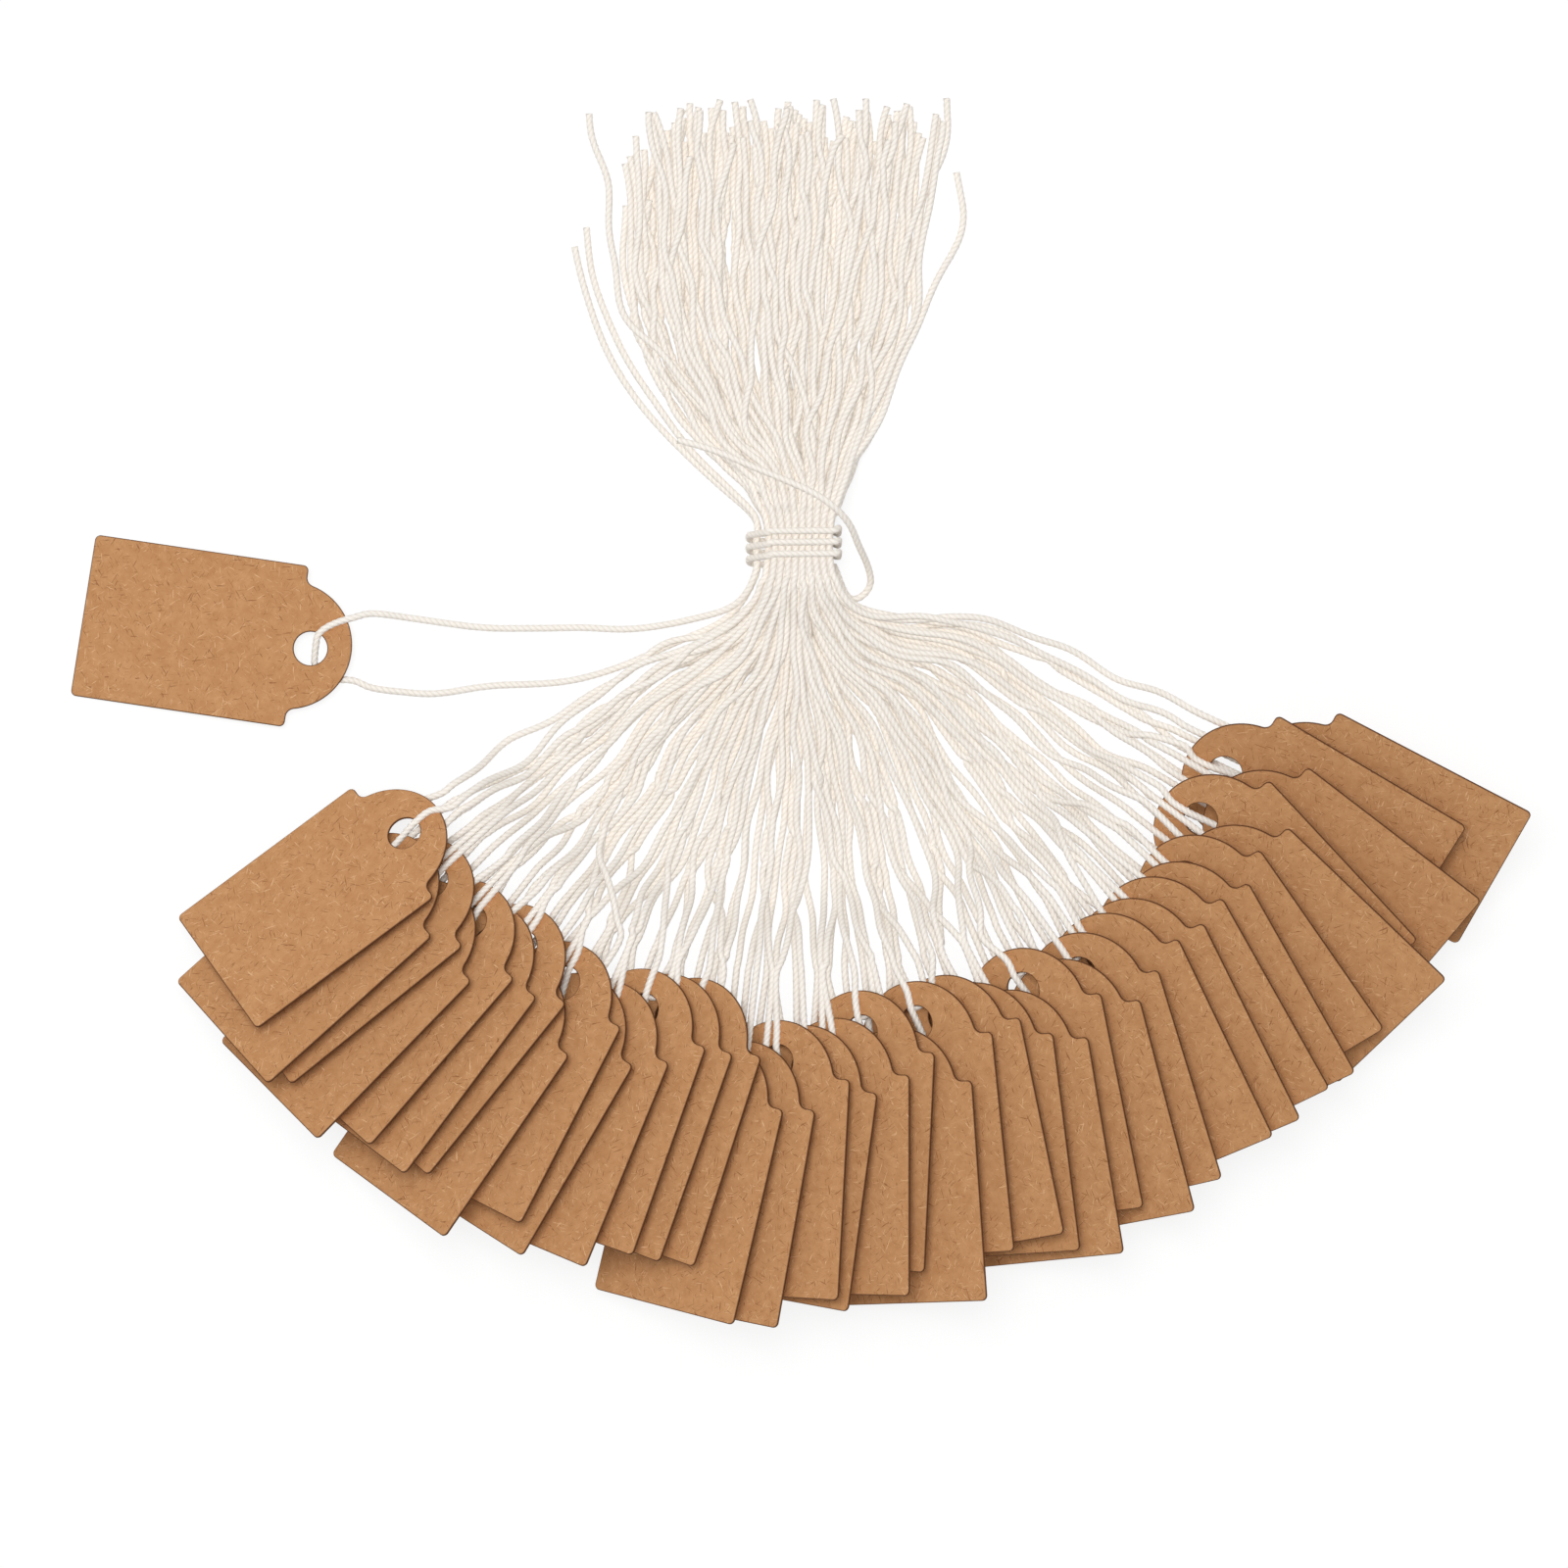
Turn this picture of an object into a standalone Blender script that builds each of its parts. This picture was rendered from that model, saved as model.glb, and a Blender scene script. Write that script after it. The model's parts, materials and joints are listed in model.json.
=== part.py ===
"""A tied bundle of kraft card price tags, each hung on its own doubled cotton string.

Lengths are in metres, angles in degrees. The bundle lies on a table at Z = 0. While it is laid out,
the neck, where a thread binds the strings, is at X = Y = 0: the tags fan out towards -Y and the loose
string ends make a tassel towards +Y. A parent empty then puts the origin under the middle of the tags.
"""
import math
import random

import bmesh
import bpy
from mathutils import Matrix, Vector

BUNDLE_NAME = "strung_price_tags"

# Tag card: heights are from its square end, and the margin is the card left between hole and tip
TAG_LENGTH = 0.025
TAG_WIDTH = 0.015
TAG_THICKNESS = 0.0003
SHOULDER_HEIGHT = 0.0199
TIP_RADIUS = 0.0059
FILLET_RADIUS = 0.0008
CORNER_RADIUS = 0.0005
HOLE_DIAMETER = 0.0031
HOLE_MARGIN = 0.00225

# String and the least gap between two strands
STRING_DIAMETER = 0.0006
STRAND_GAP = 0.00006

# Shares of a string's size: how deep partner strands are pressed together under the binding, and
# how far a strand has sunk into the hole a quarter of the hole's width from its middle
PRESSED_PITCH = 0.4
HOLE_DIP = 0.6

# Fan of tags: how many share each column of the neck, from left to right, and how they are laid
COLUMN_TAGS = (2, 4, 4, 4, 4, 4, 4, 4, 4, 4)
FAN_START = 216.5
FAN_END = 335.0
HOLE_RING = 0.044
HOLE_SLIDE = 0.0055
TURN_ENDS = -2.0
TURN_BOW = -12.0
TURN_SKEW = 3.0
TURN_SPREAD = 5.5
STRAND_EDGE = 0.0004
LOOP_RADIUS = 0.0013
LAYOUT_SEED = 14

# Heights in the fan: the last card lies on the table and each other one on the next. A card may lie a
# little lower than the next, and each can swing so many degrees before its low corner meets the table
CARD_DROP = 0.00006
SWING_ROOM = 2.0
FLOOR_GAP = 0.00005

# Strings between the tags and the neck
SAG_RING = 0.030
SAG_UPPER = 0.0020
SAG_DRIFT = 0.55
SKIRT_RING = 0.018
SKIRT_SQUEEZE = 0.7
GATHER_LENGTH = 0.0080
GATHER_NEST = 0.9

# Binding thread: its turns round the neck, and the open space between them
BINDING_TURNS = 3.1
BINDING_SPACE = 0.00047
BINDING_START = -60.0
POINTS_PER_TURN = 24

# Tassel stations: height above the neck's middle, middle and half width of the tassel there, the share
# of the neck's thickness that is kept, and how far the strands of one column have parted
TASSEL_STATIONS = (
    (0.0065, -0.0004, 0.0052, 1.0, 0.0),
    (0.0115, -0.0018, 0.0088, 0.85, 1.0),
    (0.0220, -0.0027, 0.0132, 0.55, 1.0),
    (0.0395, -0.0022, 0.0140, 0.55, 1.0),
)
TIP_SCATTER = 0.12
TIP_DROOP = 0.45

# Stray end at the tassel's right side: whose upper strand it is, and its points chosen by hand
STRAY_TAG = 37
STRAY_END = (
    (0.0098, 0.0172, 0.0034), (0.0124, 0.0235, 0.0023), (0.0147, 0.0300, 0.0013), (0.0148, 0.0349, 0.0008),
)

# Drawn-out tag: hole centre and the way its square end points
DRAWN_HOLE = (-0.0448, -0.0092)
DRAWN_HEADING = 171.4

# Route of the drawn-out tag's string, chosen by hand, from one end to the other
DRAWN_UPPER = (
    (-0.0196, 0.0298, 0.0010), (-0.0190, 0.0250, 0.0011), (-0.0170, 0.0200, 0.0012),
    (-0.0143, 0.0150, 0.0016), (-0.0104, 0.0097, 0.0023), (-0.0066, 0.0056, 0.0031),
    (-0.0040, 0.0026, 0.0037), (-0.0039, 0.0000, 0.0037), (-0.0040, -0.0026, 0.0036),
    (-0.0058, -0.0054, 0.0031), (-0.0098, -0.0066, 0.0022), (-0.0158, -0.0074, 0.0013),
    (-0.0199, -0.0072, 0.0009), (-0.0230, -0.0073, 0.0007), (-0.0280, -0.0073, 0.0005),
    (-0.0324, -0.0067, 0.0006), (-0.0361, -0.0063, 0.0008), (-0.0391, -0.0060, 0.0011),
)
DRAWN_LOWER = (
    (-0.0391, -0.0128, 0.00046), (-0.0359, -0.0132, 0.00046), (-0.0327, -0.0133, 0.00046),
    (-0.0280, -0.0126, 0.00046), (-0.0242, -0.0124, 0.00046), (-0.0205, -0.0120, 0.00046),
    (-0.0157, -0.0105, 0.0006), (-0.0103, -0.0083, 0.0010), (-0.0063, -0.0062, 0.0018),
    (-0.0040, -0.0027, 0.0023), (-0.0039, 0.0000, 0.0024), (-0.0040, 0.0026, 0.0023),
    (-0.0072, 0.0058, 0.0016), (-0.0117, 0.0100, 0.0009), (-0.0156, 0.0150, 0.0005),
    (-0.0180, 0.0190, 0.00046), (-0.0201, 0.0250, 0.00046), (-0.0207, 0.0280, 0.00046),
)

# The same string at its card: X towards the square end, Y across, and 1 above the card or -1 under it
DRAWN_BIGHT = (
    (-0.0034, -0.0033, 1.0), (-0.0018, -0.0017, 1.0), (-0.0006, -0.0005, 0.5), (0.0006, 0.0004, -0.5),
    (0.0015, 0.0010, -1.0), (0.0018, 0.0017, -1.0), (0.0012, 0.0023, -1.0), (0.0000, 0.0025, -1.0),
    (-0.0020, 0.0024, -1.0), (-0.0043, 0.0023, -1.0),
)

# Loose tail of the binding thread, chosen by hand, from its free end to the underside of the neck
BINDING_TAIL = (
    (-0.0110, 0.0096, 0.0064), (-0.0085, 0.0088, 0.0068), (-0.0050, 0.0073, 0.0073),
    (-0.0012, 0.0056, 0.0075), (0.0022, 0.0039, 0.0074), (0.0044, 0.0020, 0.0062),
    (0.0055, -0.0001, 0.0042), (0.0063, -0.0017, 0.0023), (0.0066, -0.0031, 0.0010),
    (0.0060, -0.0042, 0.0005), (0.0046, -0.0046, 0.00042),
)

KRAFT_BROWN = (0.55, 0.29, 0.13)
COTTON_WHITE = (0.86, 0.81, 0.75)

# Values that follow from the sizes above
HOLE_HEIGHT = TAG_LENGTH - HOLE_MARGIN - HOLE_DIAMETER / 2
FAN_COUNT = sum(COLUMN_TAGS)
FAN_STEP = math.radians(FAN_END - FAN_START) / (FAN_COUNT - 1)
TIP_RING = HOLE_RING - (TAG_LENGTH - HOLE_HEIGHT)
EDGE_RING = TIP_RING - STRAND_EDGE
STRAND_OFFSET = TAG_THICKNESS / 2 + STRING_DIAMETER / 2 + STRAND_GAP
LAYER = TAG_THICKNESS + STRING_DIAMETER + 2 * STRAND_GAP
CARD_TILT = math.asin((LAYER + CARD_DROP) / (EDGE_RING * math.sin(FAN_STEP)))
LEVEL_PITCH = STRING_DIAMETER + STRAND_GAP
COLUMN_PITCH = LEVEL_PITCH
STRAND_FLOOR = STRING_DIAMETER / 2 + STRAND_GAP
NECK_HEIGHT = STRAND_FLOOR + LEVEL_PITCH * (max(COLUMN_TAGS) + 0.5)
BINDING_PITCH = STRING_DIAMETER + BINDING_SPACE
BINDING_HALF = BINDING_TURNS * BINDING_PITCH / 2
NECK_HALF = BINDING_HALF + STRING_DIAMETER
DRAWN_HEIGHT = STRAND_FLOOR + STRAND_OFFSET


def clear_scene():
    for item in list(bpy.data.objects):
        bpy.data.objects.remove(item)


def new_collection(name):
    collection = bpy.data.collections.new(name)
    bpy.context.scene.collection.children.link(collection)
    return collection


def new_material(name, colour, roughness):
    material = bpy.data.materials.new(name)
    material.use_nodes = True
    shader = material.node_tree.nodes["Principled BSDF"]
    shader.inputs["Base Color"].default_value = (*colour, 1.0)
    shader.inputs["Roughness"].default_value = roughness
    shader.inputs["Metallic"].default_value = 0.0
    return material


def arc(centre, radius, start, end, steps):
    """Points along an arc, both ends included; angles in degrees."""
    points = []
    for step in range(steps + 1):
        angle = math.radians(start + (end - start) * step / steps)
        points.append((centre[0] + radius * math.cos(angle), centre[1] + radius * math.sin(angle)))
    return points


def tag_outline():
    """The card's outline, with the hole's centre at the origin and the square end towards +X."""
    half = TAG_WIDTH / 2
    square_end = HOLE_HEIGHT
    shoulder = HOLE_HEIGHT - SHOULDER_HEIGHT
    tip_centre = HOLE_HEIGHT - (TAG_LENGTH - TIP_RADIUS)
    fillet_x = shoulder - FILLET_RADIUS
    fillet_y = math.sqrt((TIP_RADIUS + FILLET_RADIUS) ** 2 - (tip_centre - fillet_x) ** 2)
    meeting = math.degrees(math.atan2(fillet_y, fillet_x - tip_centre))
    inset = half - CORNER_RADIUS
    side = arc((square_end - CORNER_RADIUS, inset), CORNER_RADIUS, 0, 90, 1)
    side += arc((shoulder + CORNER_RADIUS, inset), CORNER_RADIUS, 90, 180, 1)
    side += arc((fillet_x, fillet_y), FILLET_RADIUS, 0, meeting - 180, 2)
    tip = arc((tip_centre, 0), TIP_RADIUS, meeting, 360 - meeting, 8)
    mirrored = [(x, -y) for x, y in reversed(side)]
    return side + tip[1:-1] + mirrored


def tag_curve(material):
    curve = bpy.data.curves.new("tag_card", "CURVE")
    curve.dimensions = "2D"
    curve.fill_mode = "BOTH"
    curve.extrude = TAG_THICKNESS / 2
    hole = arc((0, 0), HOLE_DIAMETER / 2, 0, 360, 10)[:-1]
    for outline in (tag_outline(), hole):
        spline = curve.splines.new("POLY")
        spline.points.add(len(outline) - 1)
        for point, (x, y) in zip(spline.points, outline):
            point.co = (x, y, 0, 1)
        spline.use_cyclic_u = True
    curve.materials.append(material)
    return curve


def card_frame(heading, sideways_tilt, pitch, hole):
    """Matrix with +X towards the square end, +Z out of the card's face and the hole at its origin."""
    lean = Matrix.Rotation(pitch, 4, "Y") @ Matrix.Rotation(sideways_tilt, 4, "X")
    return Matrix.Translation(hole) @ Matrix.Rotation(heading, 4, "Z") @ lean


def fan_heading(index):
    return math.radians(FAN_START) + FAN_STEP * index


def resting_height(turn):
    """Height of a card's hole where the card, turned so far, just clears the table."""
    low_reach = TAG_WIDTH / 2 - HOLE_HEIGHT * math.sin(math.radians(min(turn, 0.0)))
    return math.sin(CARD_TILT) * low_reach + math.cos(CARD_TILT) * TAG_THICKNESS / 2 + FLOOR_GAP


def fan_cards(layout):
    """For each fan tag, its radial frame at the hole, its ring and how far it is turned in its plane."""
    rings = []
    turns = []
    for index in range(FAN_COUNT):
        rings.append(HOLE_RING + HOLE_SLIDE * layout.random())
        bow = math.sin(math.pi * (index / (FAN_COUNT - 1)) ** TURN_SKEW)
        turns.append(TURN_ENDS + TURN_BOW * bow + layout.uniform(-TURN_SPREAD, TURN_SPREAD))
    cards = []
    height = 0.0
    for index in reversed(range(FAN_COUNT)):
        heading = fan_heading(index)
        height = max(resting_height(turns[index] - SWING_ROOM), height - CARD_DROP)
        hole = Vector((rings[index] * math.cos(heading), rings[index] * math.sin(heading), height))
        cards.append((card_frame(heading, CARD_TILT, 0.0, hole), rings[index], turns[index]))
    return cards[::-1]


def drawn_card():
    """Frame of the drawn-out tag: its tip rests on its own string and its square end on the table."""
    pitch = math.asin((DRAWN_HEIGHT - TAG_THICKNESS / 2 - FLOOR_GAP) / HOLE_HEIGHT)
    return card_frame(math.radians(DRAWN_HEADING), 0.0, pitch, Vector((*DRAWN_HOLE, DRAWN_HEIGHT)))


def neck_places():
    """For each fan tag, its column's X, its lower strand's height and its upper strand's height."""
    places = []
    middle = (len(COLUMN_TAGS) - 1) / 2
    for column, count in enumerate(COLUMN_TAGS):
        for row in range(count):
            lower = NECK_HEIGHT + (row - count + 0.5) * LEVEL_PITCH
            places.append(((column - middle) * COLUMN_PITCH, lower, lower + count * LEVEL_PITCH))
    return places


def tassel_slots():
    """Each strand end's column and its place across that column: neighbours are two levels apart."""
    slots = {}
    first = 0
    for column, count in enumerate(COLUMN_TAGS):
        levels = list(range(1, 2 * count, 2)) + list(range(0, 2 * count, 2))
        for order, level in enumerate(levels):
            side = "upper" if level >= count else "lower"
            slots[first + level % count, side] = (column, (order + 0.5) / (2 * count) - 0.5)
        first += count
    return slots


def flattened(height, share):
    return STRAND_FLOOR + share * (height - STRAND_FLOOR)


def skirt_points(heading, drift, x, height, sag_height):
    """Points of one strand from mid-span to the neck, as it gathers in."""
    outward = Vector((math.cos(heading), math.sin(heading), 0))
    across = Vector((-math.sin(heading), math.cos(heading), 0))
    middle = outward * SAG_RING + across * drift * SAG_DRIFT + Vector((0, 0, sag_height))
    ring = outward * SKIRT_RING + Vector((0, 0, flattened(height, SKIRT_SQUEEZE)))
    neck = Vector((x, -NECK_HALF, height))
    bend = neck - Vector((0, GATHER_LENGTH - abs(x) * GATHER_NEST, 0))
    points = [middle, ring]
    for share in (2 / 3, 1 / 3):
        points.append(neck * (1 - share) ** 2 + bend * 2 * share * (1 - share) + ring * share ** 2)
    return points + [neck]


def tassel_points(slot, height, layout):
    """Points of one strand from above the neck to its cut end."""
    column, place = slot
    points = []
    for rise, middle, half_width, share, parting in TASSEL_STATIONS:
        across = 2 * (column + 0.5 + place * parting) / len(COLUMN_TAGS) - 1
        points.append(Vector((middle + half_width * across, rise, flattened(height, share))))
    droop = TIP_DROOP * max(0.0, -across) ** 5
    reach = 1 + layout.uniform(-TIP_SCATTER, TIP_SCATTER) - droop
    points[-1] = points[-2].lerp(points[-1], reach)
    return points


def hole_points(frame, ring):
    """The bight of a string: in over the tip, down through the hole, round and back under the card."""
    half_hole = HOLE_DIAMETER / 2
    turn_start = half_hole + STRAND_GAP
    edge = EDGE_RING - ring
    local = [
        (edge, 0, STRAND_OFFSET),
        (-half_hole, 0, STRAND_OFFSET),
        (-half_hole / 2, 0, STRAND_OFFSET * HOLE_DIP),
        (half_hole / 2, 0, -STRAND_OFFSET * HOLE_DIP),
    ]
    for x, y in arc((turn_start, -LOOP_RADIUS), LOOP_RADIUS, 90, -90, 4):
        local.append((x, y, -STRAND_OFFSET))
    local.append((edge, -2 * LOOP_RADIUS, -STRAND_OFFSET))
    return [frame @ Vector(point) for point in local]


def string_route(index, card, place, slots, layout):
    """One string from the cut end of its upper strand to the cut end of its lower strand."""
    frame, ring, _ = card
    x, lower, upper = place
    heading = fan_heading(index)
    drift = -2 * LOOP_RADIUS * math.cos(CARD_TILT)
    upper_side = skirt_points(heading, 0.0, x, upper, SAG_UPPER)
    upper_side += [Vector((x, NECK_HALF, upper))]
    upper_side += tassel_points(slots[index, "upper"], upper, layout)
    if index == STRAY_TAG - 1:
        upper_side[-2:] = [Vector(point) for point in STRAY_END]
    lower_side = skirt_points(heading, drift, x, lower, STRAND_FLOOR)
    lower_side += [Vector((x, 0, lower + pinch(index))), Vector((x, NECK_HALF, lower))]
    lower_side += tassel_points(slots[index, "lower"], lower, layout)
    return upper_side[::-1] + hole_points(frame, ring) + lower_side


def pinch(index):
    """How far a lower strand is pressed towards its partner's under the binding."""
    squeeze = (LEVEL_PITCH - PRESSED_PITCH * STRING_DIAMETER) / 2
    return squeeze if index % 2 == 0 else -squeeze


def smooth(points, steps):
    """Points read from a Catmull-Rom curve through the given points."""
    knots = [points[0] * 2 - points[1]] + points + [points[-1] * 2 - points[-2]]
    result = []
    for before, start, end, after in zip(knots, knots[1:], knots[2:], knots[3:]):
        for step in range(steps):
            t = step / steps
            bend = 2 * before - 5 * start + 4 * end - after
            twist = 3 * start - before - 3 * end + after
            result.append(start + (end - before) * t / 2 + bend * t * t / 2 + twist * t ** 3 / 2)
    return result + [points[-1]]


def drawn_route(frame):
    """The drawn-out tag's string, with the bight placed on its card."""
    bight = [frame @ Vector((x, y, side * STRAND_OFFSET)) for x, y, side in DRAWN_BIGHT]
    upper = [Vector(point) for point in DRAWN_UPPER]
    lower = [Vector(point) for point in DRAWN_LOWER]
    return upper + bight + lower


def binding_route(neck_strands):
    """The binding thread: its loose tail, then its turns drawn tight round the strands of the neck."""
    offset = STRING_DIAMETER + STRAND_GAP
    turns = []
    for step in range(round(BINDING_TURNS * POINTS_PER_TURN) + 1):
        angle = math.radians(BINDING_START - 360 * step / POINTS_PER_TURN)
        outward = Vector((math.cos(angle), math.sin(angle)))
        outermost = max(neck_strands, key=outward.dot)
        x, z = outermost + outward * offset
        turns.append(Vector((x, BINDING_PITCH * step / POINTS_PER_TURN - BINDING_HALF, z)))
    tail = [Vector(point) for point in BINDING_TAIL]
    return smooth(tail + turns[:1], 2)[:-1] + turns


def least_self_gap(points):
    """Least open space between stretches of a tube that are more than half a turn apart."""
    apart = POINTS_PER_TURN // 2
    gaps = []
    for index, point in enumerate(points):
        for other in points[index + apart:]:
            gaps.append((point - other).length - STRING_DIAMETER)
    return min(gaps)


def tube_curve(name, points, side_steps, material):
    curve = bpy.data.curves.new(name, "CURVE")
    curve.dimensions = "3D"
    curve.bevel_depth = STRING_DIAMETER / 2
    curve.bevel_resolution = side_steps
    curve.use_fill_caps = True
    spline = curve.splines.new("POLY")
    spline.points.add(len(points) - 1)
    for point, place in zip(spline.points, points):
        point.co = (*place, 1)
    curve.materials.append(material)
    return curve


def add_object(name, data, collection, parent, matrix):
    item = bpy.data.objects.new(name, data)
    collection.objects.link(item)
    item.parent = parent
    item.matrix_local = matrix
    return item


def tube_mesh(name, points, collection, parent, material):
    """A string as a closed mesh, ready for a Boolean."""
    tube = add_object(name + "_tube", tube_curve(name, points, 0, material), collection, parent, Matrix())
    evaluated = tube.evaluated_get(bpy.context.evaluated_depsgraph_get())
    mesh = bpy.data.meshes.new_from_object(evaluated)
    shape = bmesh.new()
    shape.from_mesh(mesh)
    bmesh.ops.remove_doubles(shape, verts=shape.verts, dist=STRING_DIAMETER / 100)
    bmesh.ops.recalc_face_normals(shape, faces=shape.faces)
    shape.to_mesh(mesh)
    shape.free()
    item = add_object(name, mesh, collection, parent, tube.matrix_local)
    bpy.data.objects.remove(tube)
    return item


def add_string_pair(number, routes, parts, cutters, parent, material):
    """Two neighbouring strings, pressed into one piece where the binding squeezes them."""
    first = tube_mesh(f"string_pair_{number:02d}", routes[0], parts, parent, material)
    second = tube_mesh(f"string_pair_{number:02d}_second", routes[1], cutters, parent, material)
    second.hide_render = True
    second.display_type = "WIRE"
    join = first.modifiers.new("press together", "BOOLEAN")
    join.operation = "UNION"
    join.solver = "EXACT"
    join.object = second


def tags_box_centre(matrices):
    """Middle of the box round all the tags, seen from above."""
    half = TAG_THICKNESS / 2
    corners = [Vector((x, y, z)) for x, y in tag_outline() for z in (-half, half)]
    places = [matrix @ corner for matrix in matrices for corner in corners]
    xs = [place.x for place in places]
    ys = [place.y for place in places]
    return Vector(((min(xs) + max(xs)) / 2, (min(ys) + max(ys)) / 2, 0))


def build():
    clear_scene()
    parts = new_collection(BUNDLE_NAME)
    cutters = new_collection("cutters")
    card = new_material("kraft_card", KRAFT_BROWN, 0.85)
    cotton = new_material("cotton_string", COTTON_WHITE, 0.8)
    layout = random.Random(LAYOUT_SEED)

    cards = fan_cards(layout)
    tag_matrices = [frame @ Matrix.Rotation(math.radians(turn), 4, "Z") for frame, _, turn in cards]
    drawn_matrix = drawn_card()
    base = bpy.data.objects.new("bundle_base", None)
    parts.objects.link(base)
    base.location = -tags_box_centre(tag_matrices + [drawn_matrix])

    curve = tag_curve(card)
    for index, matrix in enumerate(tag_matrices):
        add_object(f"tag_{index + 1:02d}", curve, parts, base, matrix)
    add_object("drawn_tag", curve, parts, base, drawn_matrix)

    places = neck_places()
    slots = tassel_slots()
    routes = []
    for index in range(FAN_COUNT):
        routes.append(string_route(index, cards[index], places[index], slots, layout))
    for pair in range(FAN_COUNT // 2):
        add_string_pair(pair + 1, routes[2 * pair:2 * pair + 2], parts, cutters, base, cotton)
    drawn_string = smooth(drawn_route(drawn_matrix), 2)
    add_object("drawn_string", tube_curve("drawn_string", drawn_string, 1, cotton), parts, base, Matrix())

    neck_strands = [Vector((x, z)) for x, lower, upper in places for z in (lower, upper)]
    neck_strands += [Vector((x, z)) for x, y, z in DRAWN_UPPER + DRAWN_LOWER if abs(y) < BINDING_HALF]
    winding = binding_route(neck_strands)
    add_object("binding_thread", tube_curve("binding_thread", winding, 1, cotton), parts, base, Matrix())
    print(f"binding thread, least gap to itself: {least_self_gap(winding) * 1000:.2f} mm")
    bpy.context.view_layer.update()


build()
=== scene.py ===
"""Looks of the tied bundle of kraft price tags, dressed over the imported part.

Lengths are in metres, angles in degrees. Routes are worked out with the neck, where a thread binds the
strings, at X = Y = 0, as the part lays them out, and are then moved to the neck's place in the frame.
"""

import json
import math
import random

import bpy
import numpy as np
from mathutils import Matrix, Vector
from mathutils.kdtree import KDTree


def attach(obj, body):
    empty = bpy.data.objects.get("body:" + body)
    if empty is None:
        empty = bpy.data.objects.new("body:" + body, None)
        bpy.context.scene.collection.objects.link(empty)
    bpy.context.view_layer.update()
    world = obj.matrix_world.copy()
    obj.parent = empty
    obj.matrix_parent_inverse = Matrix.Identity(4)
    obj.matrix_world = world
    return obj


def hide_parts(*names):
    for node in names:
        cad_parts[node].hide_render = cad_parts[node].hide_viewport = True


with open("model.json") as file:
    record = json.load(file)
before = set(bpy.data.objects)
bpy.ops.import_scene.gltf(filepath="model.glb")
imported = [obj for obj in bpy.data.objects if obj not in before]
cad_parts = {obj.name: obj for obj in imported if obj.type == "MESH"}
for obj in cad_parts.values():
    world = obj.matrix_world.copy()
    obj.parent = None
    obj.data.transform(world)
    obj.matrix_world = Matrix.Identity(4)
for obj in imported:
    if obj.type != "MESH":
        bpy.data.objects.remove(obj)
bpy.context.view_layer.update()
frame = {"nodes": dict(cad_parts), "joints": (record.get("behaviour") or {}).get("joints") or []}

# Tag card, as the part has it, and how finely its round stretches are drawn
TAG_LENGTH = 0.025
TAG_WIDTH = 0.015
TAG_THICKNESS = 0.0003
SHOULDER_HEIGHT = 0.0199
TIP_RADIUS = 0.0059
FILLET_RADIUS = 0.0008
CORNER_RADIUS = 0.0005
HOLE_DIAMETER = 0.0031
HOLE_MARGIN = 0.00225
EDGE_ROUND = 0.00012
TIP_STEPS = 36
HOLE_STEPS = 40
CORNER_STEPS = 5

# Strings, about as the part routes them
STRING_DIAMETER = 0.0006
STRAND_GAP = 0.00006
HOLE_DIP = 0.6
COLUMN_TAGS = (2, 4, 4, 4, 4, 4, 4, 4, 4, 4)
STRAND_EDGE = 0.0004
LOOP_RADIUS = 0.0013
TUCK_LENGTH = 0.0011
HOLE_RING = 0.044
SAG_RING = 0.030
SAG_UPPER = 0.0020
SAG_DRIFT = 0.36
SKIRT_RING = 0.018
SKIRT_SQUEEZE = 0.7
GATHER_LENGTH = 0.0080
GATHER_NEST = 0.9
BINDING_TURNS = 3.1
BINDING_SPACE = 0.00047
BINDING_START = -60.0
POINTS_PER_TURN = 24
LOOP_STEPS = 4
TASSEL_STATIONS = (
    (0.0065, -0.0004, 0.0052, 1.0, 0.0),
    (0.0115, -0.0018, 0.0088, 0.85, 1.0),
    (0.0220, -0.0027, 0.0132, 0.55, 1.0),
    (0.0395, -0.0022, 0.0140, 0.55, 1.0),
)
TIP_SCATTER = 0.12
TIP_DROOP = 0.45
DROOP_POWER = 5
STRAY_TAG = 37
STRAY_END = (
    (0.0098, 0.0172, 0.0034), (0.0124, 0.0235, 0.0023), (0.0147, 0.0300, 0.0013),
    (0.0148, 0.0349, 0.0008),
)
DRAWN_HOLE = (-0.0448, -0.0092)
DRAWN_UPPER = (
    (-0.0196, 0.0298, 0.0010), (-0.0190, 0.0250, 0.0011), (-0.0170, 0.0200, 0.0012),
    (-0.0143, 0.0150, 0.0016), (-0.0104, 0.0097, 0.0023), (-0.0066, 0.0056, 0.0031),
    (-0.0040, 0.0026, 0.0037), (-0.0039, 0.0000, 0.0037), (-0.0040, -0.0026, 0.0036),
    (-0.0058, -0.0054, 0.0031), (-0.0098, -0.0066, 0.0022), (-0.0158, -0.0074, 0.0013),
    (-0.0199, -0.0072, 0.0009), (-0.0230, -0.0073, 0.0007), (-0.0280, -0.0073, 0.0005),
    (-0.0324, -0.0067, 0.0006), (-0.0361, -0.0063, 0.0008), (-0.0391, -0.0060, 0.0011),
)
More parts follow.
